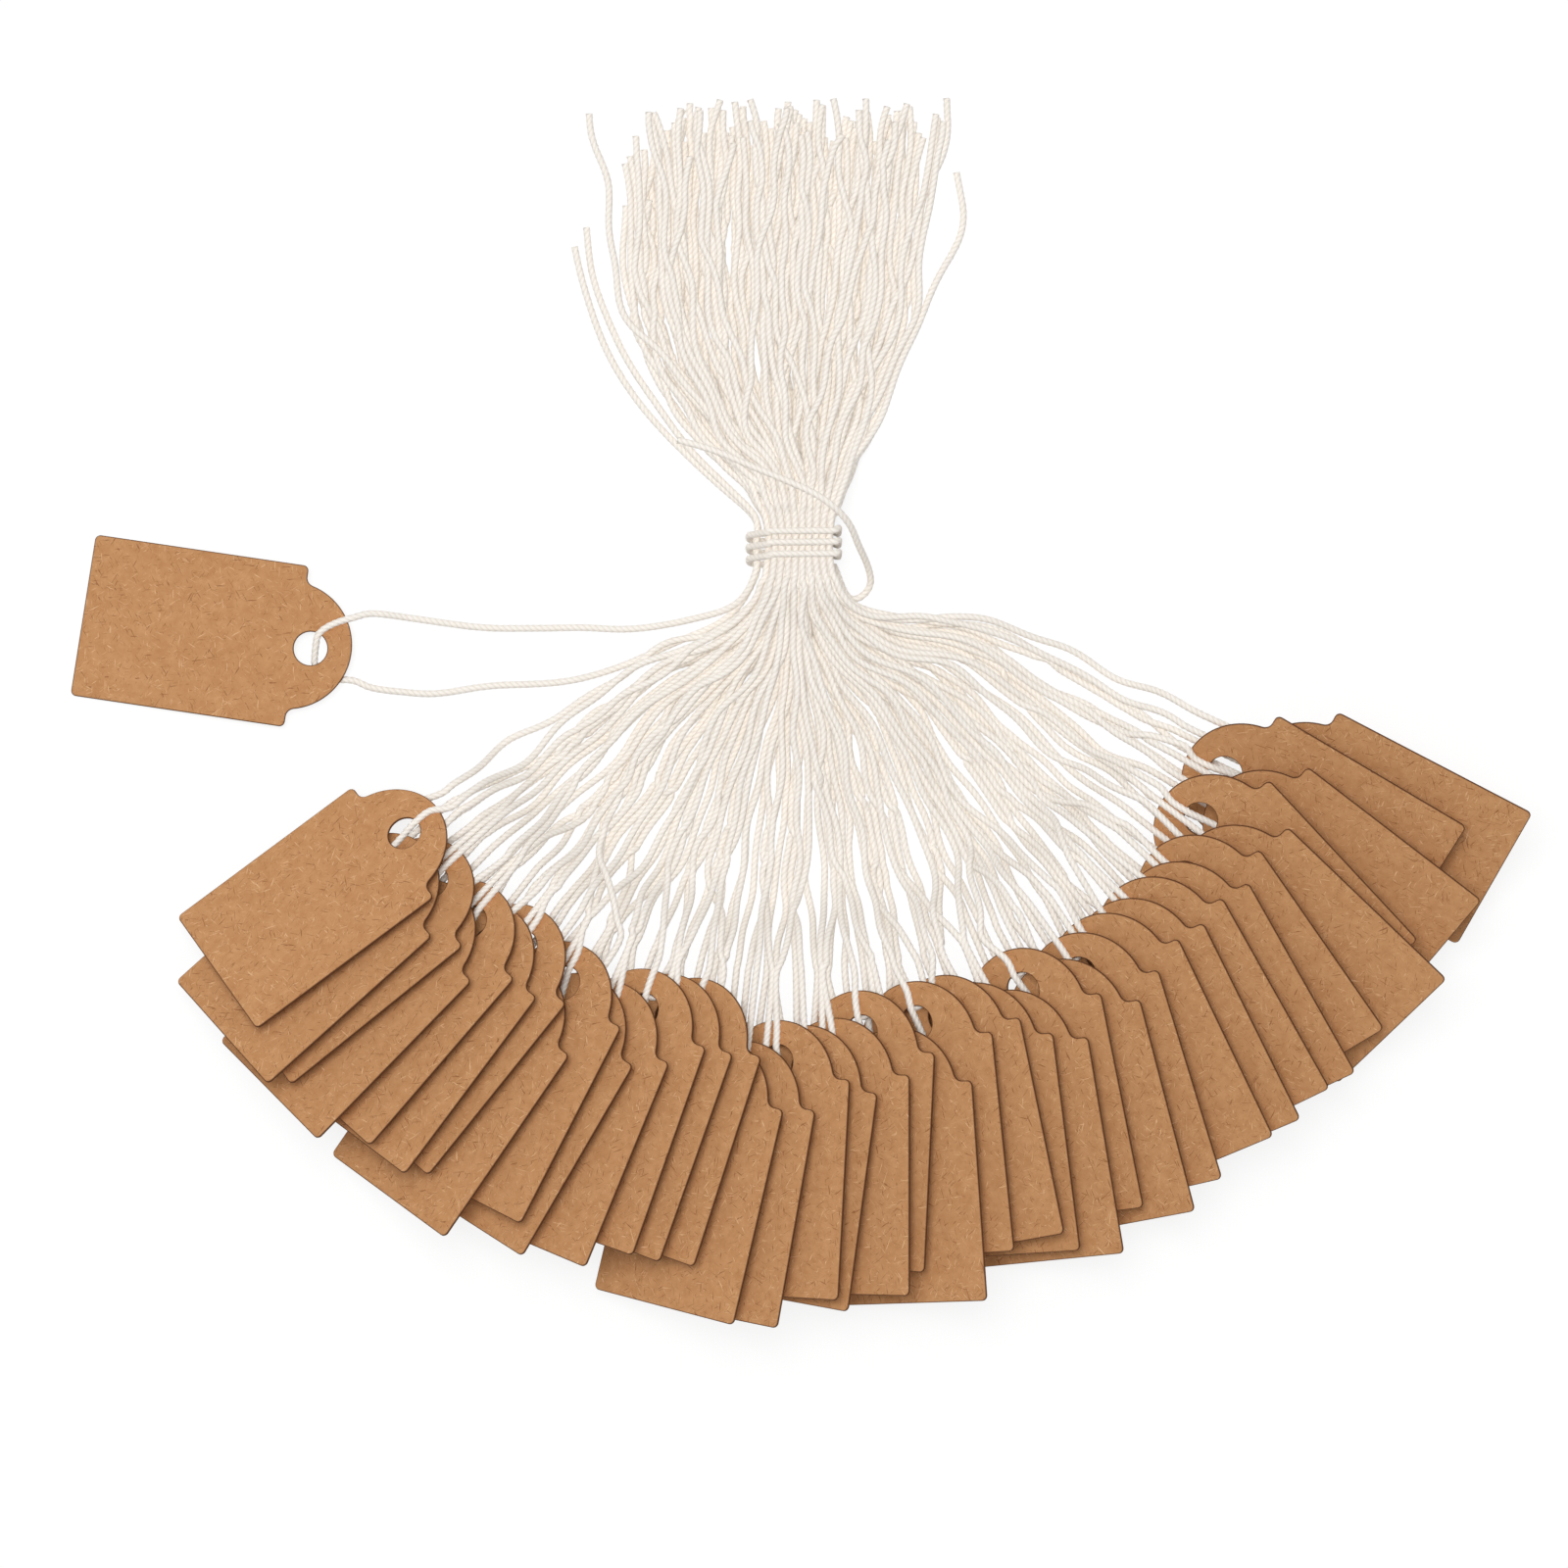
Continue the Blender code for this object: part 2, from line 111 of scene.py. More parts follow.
DRAWN_LOWER = (
    (-0.0391, -0.0128, 0.00046), (-0.0359, -0.0132, 0.00046), (-0.0327, -0.0133, 0.00046),
    (-0.0280, -0.0126, 0.00046), (-0.0242, -0.0124, 0.00046), (-0.0205, -0.0120, 0.00046),
    (-0.0157, -0.0105, 0.0006), (-0.0103, -0.0083, 0.0010), (-0.0063, -0.0062, 0.0018),
    (-0.0040, -0.0027, 0.0023), (-0.0039, 0.0000, 0.0024), (-0.0040, 0.0026, 0.0023),
    (-0.0072, 0.0058, 0.0016), (-0.0117, 0.0100, 0.0009), (-0.0156, 0.0150, 0.0005),
    (-0.0180, 0.0190, 0.00046), (-0.0201, 0.0250, 0.00046), (-0.0207, 0.0280, 0.00046),
)
DRAWN_BIGHT = (
    (-0.0034, -0.0033, 1.0), (-0.0022, -0.00275, 1.0), (-0.00115, -0.00205, 1.0),
    (-0.00055, -0.0013, 0.97), (-0.00045, -0.00045, 0.4), (-0.00045, 0.00045, -0.4),
    (-0.00055, 0.0013, -0.97), (-0.0011, 0.0020, -1.0), (-0.0022, 0.00245, -1.0),
    (-0.0043, 0.0023, -1.0),
)
BINDING_TAIL = (
    (-0.0110, 0.0096, 0.0064), (-0.0085, 0.0088, 0.0068), (-0.0050, 0.0073, 0.0073),
    (-0.0012, 0.0056, 0.0075), (0.0022, 0.0039, 0.0074), (0.0044, 0.0020, 0.0062),
    (0.0055, -0.0001, 0.0042), (0.0063, -0.0017, 0.0023), (0.0066, -0.0031, 0.0010),
    (0.0060, -0.0042, 0.0005), (0.0046, -0.0046, 0.00042),
)

# How the strings hang loose: waves across their run, and how far they stray sideways in the skirt, at
# the cards' tips and in the tassel, where the topmost stray furthest. Each lead is a share of the way from
# a card's tip to mid-span, and how much of an even drop a strand has made there. Within the held span and
# rise, at the cards and the neck, the strings don't move, and past the loose ones they move freely.
LAYOUT_SEED = 23
WAVE_LENGTHS = (0.009, 0.015, 0.024)
WAVE_STRETCHES = (0.85, 1.2)
WAVE_SHARES = (0.4, 1.0)
WAVE_SIZE = 0.00034
CALM_WAVE = 0.0001
SKIRT_LEAN = 0.6
SKIRT_STRAY = 4.0
TIP_SHIFT = 0.0012
LEADS = ((0.14, 0.25), (0.36, 0.525))
LEAD_SPREAD = 0.5
TASSEL_SHIFT = 0.0007
TASSEL_STRAY = 0.0055
STRAY_POWER = 3
HELD_SPAN = 0.0012
LOOSE_SPAN = 0.0053
HELD_RISE = 0.0032
LOOSE_RISE = 0.0075

# How finely the strings' curves are worked out, and how the strings settle on each other
SPAN_STEPS = 16
SIM_SPACING = 0.00045
SIM_STEPS = 80
SIM_SINK = 0.000012
SIM_SMOOTH = 0.08
SIM_REFRESH = 5
SIM_REACH = 0.00095
SIM_PART = 0.5
SELF_SKIP = 5
LEAST_LENGTH = 1e-9
LEAST_LOOSE = 1e-6

# Three-ply string: how far one ply runs in a turn, and its section, with a crest for each ply
PLIES = 3
PLY_PITCH = 0.0017
RINGS_PER_PITCH = 10
SECTION_CORNERS = 12
CREST_DIAMETER = 0.00068
WAIST_DIAMETER = 0.00060
CUT_FLARE = 1.05

# Kraft card: its ground, its dark and pale fibres, with the angles they lie at and the noise from which
# they show, and the painted shade on its cut edge, dark brown for the shadow along each card's edge. Colours
# are in 0 to 255 steps.
KRAFT_DARK = (181, 129, 84)
KRAFT_PALE = (198, 148, 102)
MOTTLE_SCALE = 1100.0
MOTTLE_RANGE = (0.3, 0.7)
PATTERN_SPREAD = 90.0
FIBRE_LENGTH = 0.0011
FIBRE_WIDTH = 0.0001
FIBRE_FADE = 0.06
DARK_FIBRE = (148, 98, 60)
DARK_FIBRES = ((12, 0.66), (68, 0.67), (128, 0.66))
PALE_FIBRE = (221, 177, 133)
PALE_FIBRES = ((40, 0.68), (98, 0.68), (158, 0.68))
# Painted shade: the dark brown of the rounded cut edge stands for the shadow along each card's edge
CUT_EDGE_SHADE = (92, 56, 32)
RELIEF = 0.00005

# Cotton: its two whites, its sheen, and the painted shade in the grooves between its plies
COTTON_DULL = (252, 245, 236)
COTTON_BRIGHT = (255, 251, 245)
COTTON_SHEEN = (255, 248, 240)
COTTON_GROOVE_SHADE = (208, 196, 180)
GROOVE_SHADE = 0.4
CLOUD_SCALE = 400.0

# Table and light
WHITE = (1.0, 1.0, 1.0, 1.0)
TABLE_SIZE = 4.0
TABLE_COLOUR = (0.9, 0.9, 0.9, 1.0)
TABLE_GLOW = 1.04
GLOW_SHARE = 0.8
ROOM_STRENGTH = 0.44
WINDOW_SIZE = 0.6
WINDOW_POWER = 6.95
WINDOW_PLACE = (-0.15, 0.15, 1.0)

# Camera: the photograph's middle, seen from the neck, its width there, and where it is taken from
VIEW_MIDDLE = (-0.00135, -0.0216)
VIEW_WIDTH = 0.1439
VIEW_ELEVATION = 86.0
VIEW_DISTANCE = 0.65
SENSOR_WIDTH = 36.0
CLIP_START = 0.01

# Values that follow from the sizes above
FAN_COUNT = sum(COLUMN_TAGS)
HOLE_HEIGHT = TAG_LENGTH - HOLE_MARGIN - HOLE_DIAMETER / 2
EDGE_RING = HOLE_RING - (TAG_LENGTH - HOLE_HEIGHT) - STRAND_EDGE
HELD_RING = EDGE_RING - HELD_SPAN
LOOSE_RING = EDGE_RING - LOOSE_SPAN
STRAND_OFFSET = TAG_THICKNESS / 2 + STRING_DIAMETER / 2 + STRAND_GAP
LEVEL_PITCH = STRING_DIAMETER + STRAND_GAP
STRAND_FLOOR = STRING_DIAMETER / 2 + STRAND_GAP
NECK_HEIGHT = STRAND_FLOOR + LEVEL_PITCH * (max(COLUMN_TAGS) + 0.5)
BINDING_PITCH = STRING_DIAMETER + BINDING_SPACE
BINDING_HALF = BINDING_TURNS * BINDING_PITCH / 2
NECK_HALF = BINDING_HALF + STRING_DIAMETER
NECK_TOP = NECK_HEIGHT + LEVEL_PITCH * (max(COLUMN_TAGS) - 0.5)
JOINTS = {joint["child"]: joint for joint in frame["joints"]}
NECK = Vector(JOINTS["drawn_tag"]["pos_m"]) - Vector((*DRAWN_HOLE, 0))
NECK.z = 0


def srgb(red, green, blue):
    """A colour in 0 to 255 steps, as Blender's linear value."""
    channels = [value / 255 for value in (red, green, blue)]
    linear = [c / 12.92 if c <= 0.04045 else ((c + 0.055) / 1.055) ** 2.4 for c in channels]
    return (*linear, 1.0)


def add_node(tree, kind, values=(), **settings):
    """A shader node with its settings, and its input sockets set to a value or linked to an output."""
    made = tree.nodes.new(kind)
    for name, value in settings.items():
        setattr(made, name, value)
    for socket, value in dict(values).items():
        if isinstance(value, bpy.types.NodeSocket):
            tree.links.new(value, made.inputs[socket])
        else:
            made.inputs[socket].default_value = value
    return made


def new_material(name):
    """A node material that is still empty, and its tree."""
    material = bpy.data.materials.new(name)
    material.use_nodes = True
    tree = material.node_tree
    tree.nodes.clear()
    return material, tree


def ramp(tree, factor, low, high):
    """A factor that rises from 0 to 1 between two values."""
    made = add_node(tree, "ShaderNodeMapRange", {"Value": factor, "From Min": low, "From Max": high})
    return made.outputs["Result"]


def mix_colour(tree, factor, first, second):
    """Two colours mixed; the node's colour sockets share their names, so they are given by number."""
    return add_node(tree, "ShaderNodeMix", {0: factor, 6: first, 7: second}, data_type="RGBA").outputs[2]


def fibres(tree, place, seed, angle, least):
    """Short thin fibres that lie about one way: 1 on a fibre and 0 beside it."""
    turned = add_node(tree, "ShaderNodeMapping", {
        "Vector": place, "Rotation": (0, 0, math.radians(angle)),
        "Scale": (FIBRE_LENGTH, FIBRE_WIDTH, FIBRE_LENGTH),
    }, vector_type="TEXTURE")
    pattern = add_node(tree, "ShaderNodeTexNoise", {
        "Vector": turned.outputs["Vector"], "W": seed, "Scale": 1.0, "Detail": 1.0, "Distortion": 0.6,
    }, noise_dimensions="4D")
    return ramp(tree, pattern.outputs["Fac"], least, least + FIBRE_FADE)


def kraft_material():
    """Kraft card: brown, mottled, with short dark and pale fibres and painted shade on its cut edge; each
    card has its own pattern.
    """
    material, tree = new_material("kraft_card_look")
    place = add_node(tree, "ShaderNodeTexCoord").outputs["Object"]
    chance = add_node(tree, "ShaderNodeObjectInfo").outputs["Random"]
    seed = add_node(tree, "ShaderNodeMath", {0: chance, 1: PATTERN_SPREAD}, operation="MULTIPLY").outputs[0]
    mottle = add_node(tree, "ShaderNodeTexNoise", {
        "Vector": place, "W": seed, "Scale": MOTTLE_SCALE, "Detail": 5.0, "Roughness": 0.65,
    }, noise_dimensions="4D")
    cloudy = ramp(tree, mottle.outputs["Fac"], *MOTTLE_RANGE)
    colour = mix_colour(tree, cloudy, srgb(*KRAFT_DARK), srgb(*KRAFT_PALE))
    for tint, layers in ((DARK_FIBRE, DARK_FIBRES), (PALE_FIBRE, PALE_FIBRES)):
        for angle, least in layers:
            colour = mix_colour(tree, fibres(tree, place, seed, angle, least), colour, srgb(*tint))
    # The rounded cut edge is painted dark brown: painted shade for the shadow along each card's edge
    rim = add_node(tree, "ShaderNodeAttribute", attribute_name="rim").outputs["Fac"]
    colour = mix_colour(tree, rim, colour, srgb(*CUT_EDGE_SHADE))
    bump = add_node(tree, "ShaderNodeBump", {
        "Height": mottle.outputs["Fac"], "Strength": 0.25, "Distance": RELIEF,
    })
    shader = add_node(tree, "ShaderNodeBsdfPrincipled", {
        "Base Color": colour, "Normal": bump.outputs[0], "Roughness": 0.85, "Specular IOR Level": 0.2,
    })
    add_node(tree, "ShaderNodeOutputMaterial", {"Surface": shader.outputs[0]})
    return material


def cotton_material():
    """Warm white cotton string with painted shade in the grooves between its plies, so thin that the light
    passes on to the strands under it.
    """
    material, tree = new_material("cotton_string_look")
    place = add_node(tree, "ShaderNodeTexCoord").outputs["Object"]
    cloud = add_node(tree, "ShaderNodeTexNoise", {"Vector": place, "Scale": CLOUD_SCALE, "Detail": 3.0})
    colour = mix_colour(tree, cloud.outputs["Fac"], srgb(*COTTON_DULL), srgb(*COTTON_BRIGHT))
    # The grooves between the plies are painted darker: painted shade where the plies shade each other
    groove = add_node(tree, "ShaderNodeAttribute", attribute_name="groove").outputs["Fac"]
    shade = add_node(tree, "ShaderNodeMath", {0: groove, 1: GROOVE_SHADE}, operation="MULTIPLY").outputs[0]
    colour = mix_colour(tree, shade, colour, srgb(*COTTON_GROOVE_SHADE))
    shader = add_node(tree, "ShaderNodeBsdfPrincipled", {
        "Base Color": colour, "Roughness": 0.75, "Specular IOR Level": 0.25,
        "Sheen Weight": 0.7, "Sheen Roughness": 0.35, "Sheen Tint": srgb(*COTTON_SHEEN),
    })
    shadow = add_node(tree, "ShaderNodeLightPath").outputs["Is Shadow Ray"]
    clear = add_node(tree, "ShaderNodeBsdfTransparent").outputs[0]
    thin = add_node(tree, "ShaderNodeMixShader", {0: shadow, 1: shader.outputs[0], 2: clear})
    add_node(tree, "ShaderNodeOutputMaterial", {"Surface": thin.outputs[0]})
    return material


def arc(centre, radius, start, end, steps):
    """Points along an arc, both ends included; angles in degrees."""
    points = []
    for step in range(steps + 1):
        angle = math.radians(start + (end - start) * step / steps)
        points.append((centre[0] + radius * math.cos(angle), centre[1] + radius * math.sin(angle)))
    return points


def tag_outline():
    """The card's outline, with the hole's centre at the origin and the square end towards +X."""
    inset = TAG_WIDTH / 2 - CORNER_RADIUS
    shoulder = HOLE_HEIGHT - SHOULDER_HEIGHT
    tip_centre = HOLE_HEIGHT - (TAG_LENGTH - TIP_RADIUS)
    fillet_x = shoulder - FILLET_RADIUS
    fillet_y = math.sqrt((TIP_RADIUS + FILLET_RADIUS) ** 2 - (tip_centre - fillet_x) ** 2)
    meeting = math.degrees(math.atan2(fillet_y, fillet_x - tip_centre))
    side = arc((HOLE_HEIGHT - CORNER_RADIUS, inset), CORNER_RADIUS, 0, 90, CORNER_STEPS)
    side += arc((shoulder + CORNER_RADIUS, inset), CORNER_RADIUS, 90, 180, CORNER_STEPS)
    side += arc((fillet_x, fillet_y), FILLET_RADIUS, 0, meeting - 180, CORNER_STEPS)
    tip = arc((tip_centre, 0), TIP_RADIUS, meeting, 360 - meeting, TIP_STEPS)
    mirrored = [(x, -y) for x, y in reversed(side)]
    return side + tip[1:-1] + mirrored


def card_mesh(material):
    """The card as a thin plate with softly rounded cut edges."""
    curve = bpy.data.curves.new("card_outline", "CURVE")
    curve.dimensions = "2D"
    curve.fill_mode = "BOTH"
    curve.extrude = TAG_THICKNESS / 2 - EDGE_ROUND
    curve.bevel_depth = EDGE_ROUND
    curve.bevel_resolution = 1
    curve.offset = -EDGE_ROUND
    hole = arc((0, 0), HOLE_DIAMETER / 2, 0, 360, HOLE_STEPS)[:-1]
    for outline in (tag_outline(), hole):
        spline = curve.splines.new("POLY")
        spline.points.add(len(outline) - 1)
        for point, (x, y) in zip(spline.points, outline):
            point.co = (x, y, 0, 1)
        spline.use_cyclic_u = True
    holder = bpy.data.objects.new("card_outline", curve)
    bpy.context.scene.collection.objects.link(holder)
    evaluated = holder.evaluated_get(bpy.context.evaluated_depsgraph_get())
    mesh = bpy.data.meshes.new_from_object(evaluated)
    bpy.data.objects.remove(holder)
    mesh.name = "kraft_card"
    # Marks the rounded cut edge, which the material paints dark brown as shade
    rim = [float(abs(vertex.co.z) < TAG_THICKNESS / 2 - EDGE_ROUND / 10) for vertex in mesh.vertices]
    mesh.attributes.new("rim", "FLOAT", "POINT").data.foreach_set("value", rim)
    mesh.materials.clear()
    mesh.materials.append(material)
    return mesh


def square_frame(origin, along, normal):
    """Matrix at a point with +X along the card and +Z out of its face."""
    z = Vector(normal).normalized()
    x = (Vector(along) - z * Vector(along).dot(z)).normalized()
    y = z.cross(x)
    return Matrix.Translation(origin) @ Matrix((x, y, z)).transposed().to_4x4()


def card_matrix(tag):
    """Where a tag's card lies: its hole and normal from its joint, its length from its solid."""
    hole = Vector(JOINTS[tag]["pos_m"])
    corners = {tuple(round(value, 6) for value in vertex.co) for vertex in frame["nodes"][tag].data.vertices}
    middle = sum((Vector(corner) for corner in sorted(corners)), Vector()) / len(corners)
    return square_frame(hole, middle - hole, JOINTS[tag]["axis"])


def radial_frame(tag):
    """A tag's hole with +X away from the neck, in the card's plane, seen from the neck."""
    hole = Vector(JOINTS[tag]["pos_m"]) - NECK
    return square_frame(hole, (hole.x, hole.y, 0), JOINTS[tag]["axis"])


def neck_places():
    """For each fan tag, its column's X, its lower strand's height and its upper strand's height."""
    places = []
    middle = (len(COLUMN_TAGS) - 1) / 2
    for column, count in enumerate(COLUMN_TAGS):
        for row in range(count):
            lower = NECK_HEIGHT + (row - count + 0.5) * LEVEL_PITCH
            places.append(((column - middle) * LEVEL_PITCH, lower, lower + count * LEVEL_PITCH))
    return places


def tassel_slots():
    """Each strand end's column and its place across that column: neighbours are two levels apart."""
    slots = {}
    first = 0
    for column, count in enumerate(COLUMN_TAGS):
        levels = list(range(1, 2 * count, 2)) + list(range(0, 2 * count, 2))
        for order, level in enumerate(levels):
            side = "upper" if level >= count else "lower"
            slots[first + level % count, side] = (column, (order + 0.5) / (2 * count) - 0.5)
        first += count
    return slots


def flattened(height, share):
    """A strand's height in the neck, pressed towards the table."""
    return STRAND_FLOOR + share * (height - STRAND_FLOOR)


def stray(height, least, most, layout):
    """A chance shift, which grows with a strand's height in the neck."""
    share = height / NECK_TOP
    return layout.gauss(0, least + (most - least) * share ** STRAY_POWER)


def skirt_points(heading, lean, drift, x, height, sag_height):
    """Points of one strand from mid-span to the neck, as it gathers in."""
    outward = Vector((math.cos(heading + lean), math.sin(heading + lean), 0))
    across = Vector((-math.sin(heading), math.cos(heading), 0))
    middle = outward * SAG_RING + across * drift * SAG_DRIFT + Vector((0, 0, sag_height))
    ring = outward * SKIRT_RING + Vector((0, 0, flattened(height, SKIRT_SQUEEZE)))
    neck = Vector((x, -NECK_HALF, height))
    bend = neck - Vector((0, GATHER_LENGTH - abs(x) * GATHER_NEST, 0))
    points = [middle, ring]
    for share in (2 / 3, 1 / 3):
        points.append(neck * (1 - share) ** 2 + bend * 2 * share * (1 - share) + ring * share ** 2)
    return points + [neck]


def tassel_points(slot, height, layout):
    """Points of one strand from above the neck to its cut end."""
    column, place = slot
    points = []
    for rise, middle, half_width, share, parting in TASSEL_STATIONS:
        across = 2 * (column + 0.5 + place * parting) / len(COLUMN_TAGS) - 1
        points.append(Vector((middle + half_width * across, rise, flattened(height, share))))
    droop = TIP_DROOP * max(0.0, -across) ** DROOP_POWER
    reach = 1 + layout.uniform(-TIP_SCATTER, TIP_SCATTER) - droop
    points[-1] = points[-2].lerp(points[-1], reach)
    shift = stray(height, TASSEL_SHIFT, TASSEL_STRAY, layout)
    points[-2].x += shift / 2
    points[-1].x += shift
    return points


def tip_edge(card):
    """Where a string comes in over the tip, along the card from its hole."""
    return EDGE_RING - math.hypot(card.translation.x, card.translation.y)


def hole_points(card, layout):
    """The bight of a string: in over the tip, down through the hole, round and back under the card."""
    half_hole = HOLE_DIAMETER / 2
    edge = tip_edge(card)
    local = [
        (edge, layout.uniform(-TIP_SHIFT, TIP_SHIFT), STRAND_OFFSET),
        (-2 * half_hole, 0, STRAND_OFFSET),
        (-half_hole, 0, STRAND_OFFSET),
        (-half_hole / 2, 0, STRAND_OFFSET * HOLE_DIP),
        (half_hole / 2, 0, -STRAND_OFFSET * HOLE_DIP),
    ]
    for x, y in arc((half_hole + STRAND_GAP, -LOOP_RADIUS), LOOP_RADIUS, 90, -90, LOOP_STEPS):
        local.append((x, y, -STRAND_OFFSET))
    local.append((-half_hole, -2 * LOOP_RADIUS, -STRAND_OFFSET))
    local.append((edge, -2 * LOOP_RADIUS + layout.uniform(-TIP_SHIFT, TIP_SHIFT), -STRAND_OFFSET))
    return [card @ Vector(point) for point in local]


def tucked_points(card):
    """A bight that only lies under the card's tip, beside the card's own string."""
    edge = tip_edge(card)
    local = [(edge, LOOP_RADIUS)]
    local += arc((HOLE_HEIGHT - TAG_LENGTH + TUCK_LENGTH, 0), LOOP_RADIUS, 90, -90, LOOP_STEPS)
    local += [(edge, -LOOP_RADIUS)]
    return [card @ Vector((x, y, -STRAND_OFFSET)) for x, y in local]


def lead_points(edge, middle, height):
    """Points where a strand begins to sink on its way from a card's edge to mid-span, high ones later."""
    points = []
    for share, drop in LEADS:
        lead = edge.lerp(middle, share * (1 + LEAD_SPREAD * (height / NECK_TOP - 0.5)))
        lead.z = edge.z + (lead.z - edge.z) * drop
        points.append(lead)
    return points


def string_route(card, bight, drifts, sags, x, heights, slots, layout):
    """One string, from the cut end of its upper strand through its bight to that of its lower strand."""
    heading = math.atan2(card.translation.y, card.translation.x)
    sides = []
    for drift, sag, height, slot in zip(drifts, sags, heights, slots):
        lean = math.radians(stray(height, SKIRT_LEAN, SKIRT_STRAY, layout))
        side = skirt_points(heading, lean, drift * card.col[2].z, x, height, sag)
        side += [Vector((x, NECK_HALF, height))]
        sides.append(side + tassel_points(slot, height, layout))
    upper_side, lower_side = sides
    upper_lead = lead_points(bight[0], upper_side[0], heights[0])
    lower_lead = lead_points(bight[-1], lower_side[0], heights[1])
    return upper_side[::-1] + upper_lead[::-1] + bight + lower_lead + lower_side


def fan_routes(layout):
    """The strings of the fan's tags."""
    slots = tassel_slots()
    routes = []
    for index, (x, lower, upper) in enumerate(neck_places()):
        card = radial_frame(f"tag_{index + 1:02d}")
        ends = (slots[index, "upper"], slots[index, "lower"])
        drifts = (0.0, -2 * LOOP_RADIUS)
        sags = (SAG_UPPER, STRAND_FLOOR)
        bight = hole_points(card, layout)
        route = string_route(card, bight, drifts, sags, x, (upper, lower), ends, layout)
        if index == STRAY_TAG - 1:
            route[:2] = [Vector(point) for point in reversed(STRAY_END)]
        routes.append(route)
    return routes


def filler_routes(layout):
    """One more string beside each pair, which fills out the skirt and the tassel."""
    slots = tassel_slots()
    places = neck_places()
    routes = []
    for index in range(1, FAN_COUNT, 2):
        card = radial_frame(f"tag_{index + 1:02d}")
        x, lower, upper = places[index]
        x -= math.copysign(LEVEL_PITCH / 2, x)
        heights = (upper - LEVEL_PITCH / 2, lower - LEVEL_PITCH / 2)
        ends = []
        for side in ("upper", "lower"):
            column, place = slots[index, side]
            half_slot = 0.25 / COLUMN_TAGS[column]
            ends.append((column, place + half_slot))
        drifts = (LOOP_RADIUS, -LOOP_RADIUS)
        sags = (SAG_UPPER * 2 / 3, SAG_UPPER / 3)
        routes.append(string_route(card, tucked_points(card), drifts, sags, x, heights, ends, layout))
    return routes


def drawn_route():
    """The drawn-out tag's string, with the bight placed on its card."""
    card = Matrix.Translation(-NECK) @ card_matrix("drawn_tag")
    bight = [card @ Vector((x, y, side * STRAND_OFFSET)) for x, y, side in DRAWN_BIGHT]
    return [Vector(point) for point in DRAWN_UPPER] + bight + [Vector(point) for point in DRAWN_LOWER]


def binding_route():
    """The binding thread: its loose tail, then its turns drawn tight round the strands of the neck."""
    strands = [Vector((x, z)) for x, lower, upper in neck_places() for z in (lower, upper)]
    strands += [Vector((x, z)) for x, y, z in DRAWN_UPPER + DRAWN_LOWER if abs(y) < BINDING_HALF]
    offset = STRING_DIAMETER + STRAND_GAP
    turns = []
    for step in range(round(BINDING_TURNS * POINTS_PER_TURN) + 1):
        angle = math.radians(BINDING_START - 360 * step / POINTS_PER_TURN)
        outward = Vector((math.cos(angle), math.sin(angle)))
        x, z = max(strands, key=outward.dot) + outward * offset
        turns.append(Vector((x, BINDING_PITCH * step / POINTS_PER_TURN - BINDING_HALF, z)))
    return [Vector(point) for point in BINDING_TAIL] + turns


def even_line(line, spacing):
    """The same line with points about that far apart."""
    steps = np.linalg.norm(np.diff(line, axis=0), axis=1)
    along = np.concatenate([[0.0], np.cumsum(steps)])
    places = np.linspace(0.0, along[-1], round(along[-1] / spacing) + 1)
    return np.column_stack([np.interp(places, along, line[:, axis]) for axis in range(3)])


def smooth_line(points, spacing):
    """Evenly spaced points on a Catmull-Rom curve through the given points."""
    given = np.array([tuple(point) for point in points])
    knots = np.vstack([2 * given[0] - given[1], given, 2 * given[-1] - given[-2]])
    t = np.linspace(0, 1, SPAN_STEPS, endpoint=False)[:, None]
    spans = []
    for before, start, end, after in zip(knots, knots[1:], knots[2:], knots[3:]):
        bend = 2 * before - 5 * start + 4 * end - after
        twist = 3 * start - before - 3 * end + after
        spans.append(start + (end - before) * t / 2 + bend * t ** 2 / 2 + twist * t ** 3 / 2)
    return even_line(np.vstack(spans + [given[-1:]]), spacing)


def looseness(line):
    """How free each point of a string is, from 0 in the neck and at the cards to 1 between them."""
    ring = np.hypot(line[:, 0], line[:, 1])
    from_card = np.clip((HELD_RING - ring) / (HELD_RING - LOOSE_RING), 0, 1)
    from_card = np.where(line[:, 1] > 0, 1.0, from_card)
    from_neck = np.clip((np.abs(line[:, 1]) - HELD_RISE) / (LOOSE_RISE - HELD_RISE), 0, 1)
    return np.minimum(from_card, from_neck)


def wave(line, loose, size, layout):
    """The line with gentle sideways waves where it is loose."""
    along = np.arange(len(line)) * SIM_SPACING
    sway = np.zeros(len(line))
    for length in WAVE_LENGTHS:
        stretch = length * layout.uniform(*WAVE_STRETCHES)
        share = layout.uniform(*WAVE_SHARES)
        sway += size * share * np.sin(math.tau * (along / stretch + layout.random()))
    run = np.gradient(line, axis=0)
    across = np.column_stack([-run[:, 1], run[:, 0], np.zeros(len(line))])
    across /= np.maximum(np.linalg.norm(across, axis=1), LEAST_LENGTH)[:, None]
    return line + across * (sway * loose)[:, None]


def near_pairs(places, owner):
    """Points that may touch: of two strings, or of one string well apart along it."""
    tree = KDTree(len(places))
    for index, place in enumerate(places):
        tree.insert(place, index)
    tree.balance()
    pairs = []
    for index, place in enumerate(places):
        for _, other, _ in tree.find_range(place, SIM_REACH):
            if other - index > SELF_SKIP or (other > index and owner[other] != owner[index]):
                pairs.append((index, other))
    return np.array(pairs).T


